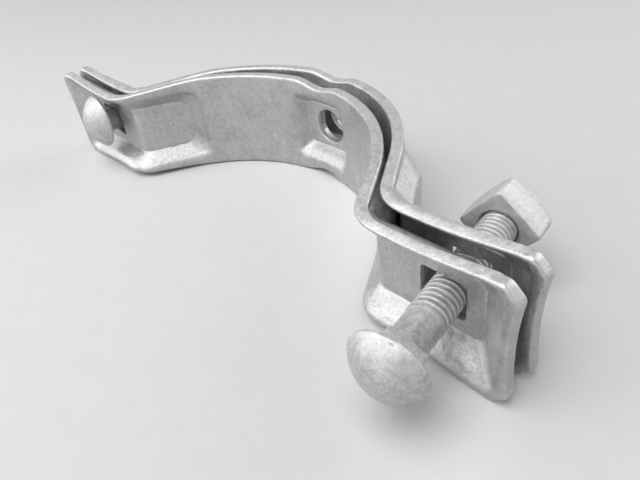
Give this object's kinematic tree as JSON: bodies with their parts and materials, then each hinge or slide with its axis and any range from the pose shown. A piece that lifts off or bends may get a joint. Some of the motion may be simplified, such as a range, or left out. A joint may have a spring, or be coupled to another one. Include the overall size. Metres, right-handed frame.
{
  "type": "pole band clamp",
  "caption": "Pressed steel clamp for a sign pole: nested half bands with channelled ears and a dimpled middle, joined by a rivet at one end and a round-head bolt and square nut at the other.",
  "frame": {"origin": "on the axis of the pole that the front band fits round, at the lower edge of the straps", "axes": "+Z along the pole, +Y from the pole's axis to the middle of the front band, +X along the ears towards the bolt"},
  "size_m": [0.2911, 0.1221, 0.05],
  "materials": {
    "galvanised_strap": "hot-dip galvanised steel, dull grey with a mottled zinc bloom and brighter rubbed edges",
    "galvanised_fastener": "galvanised steel fastener, slightly brighter and smoother than the bands"
  },
  "bodies": {
    "root": {"front_band": "galvanised_strap", "rear_band": "galvanised_strap", "rivet": "galvanised_fastener", "bolt": "galvanised_fastener", "nut": "galvanised_fastener"}
  },
  "joints": []
}
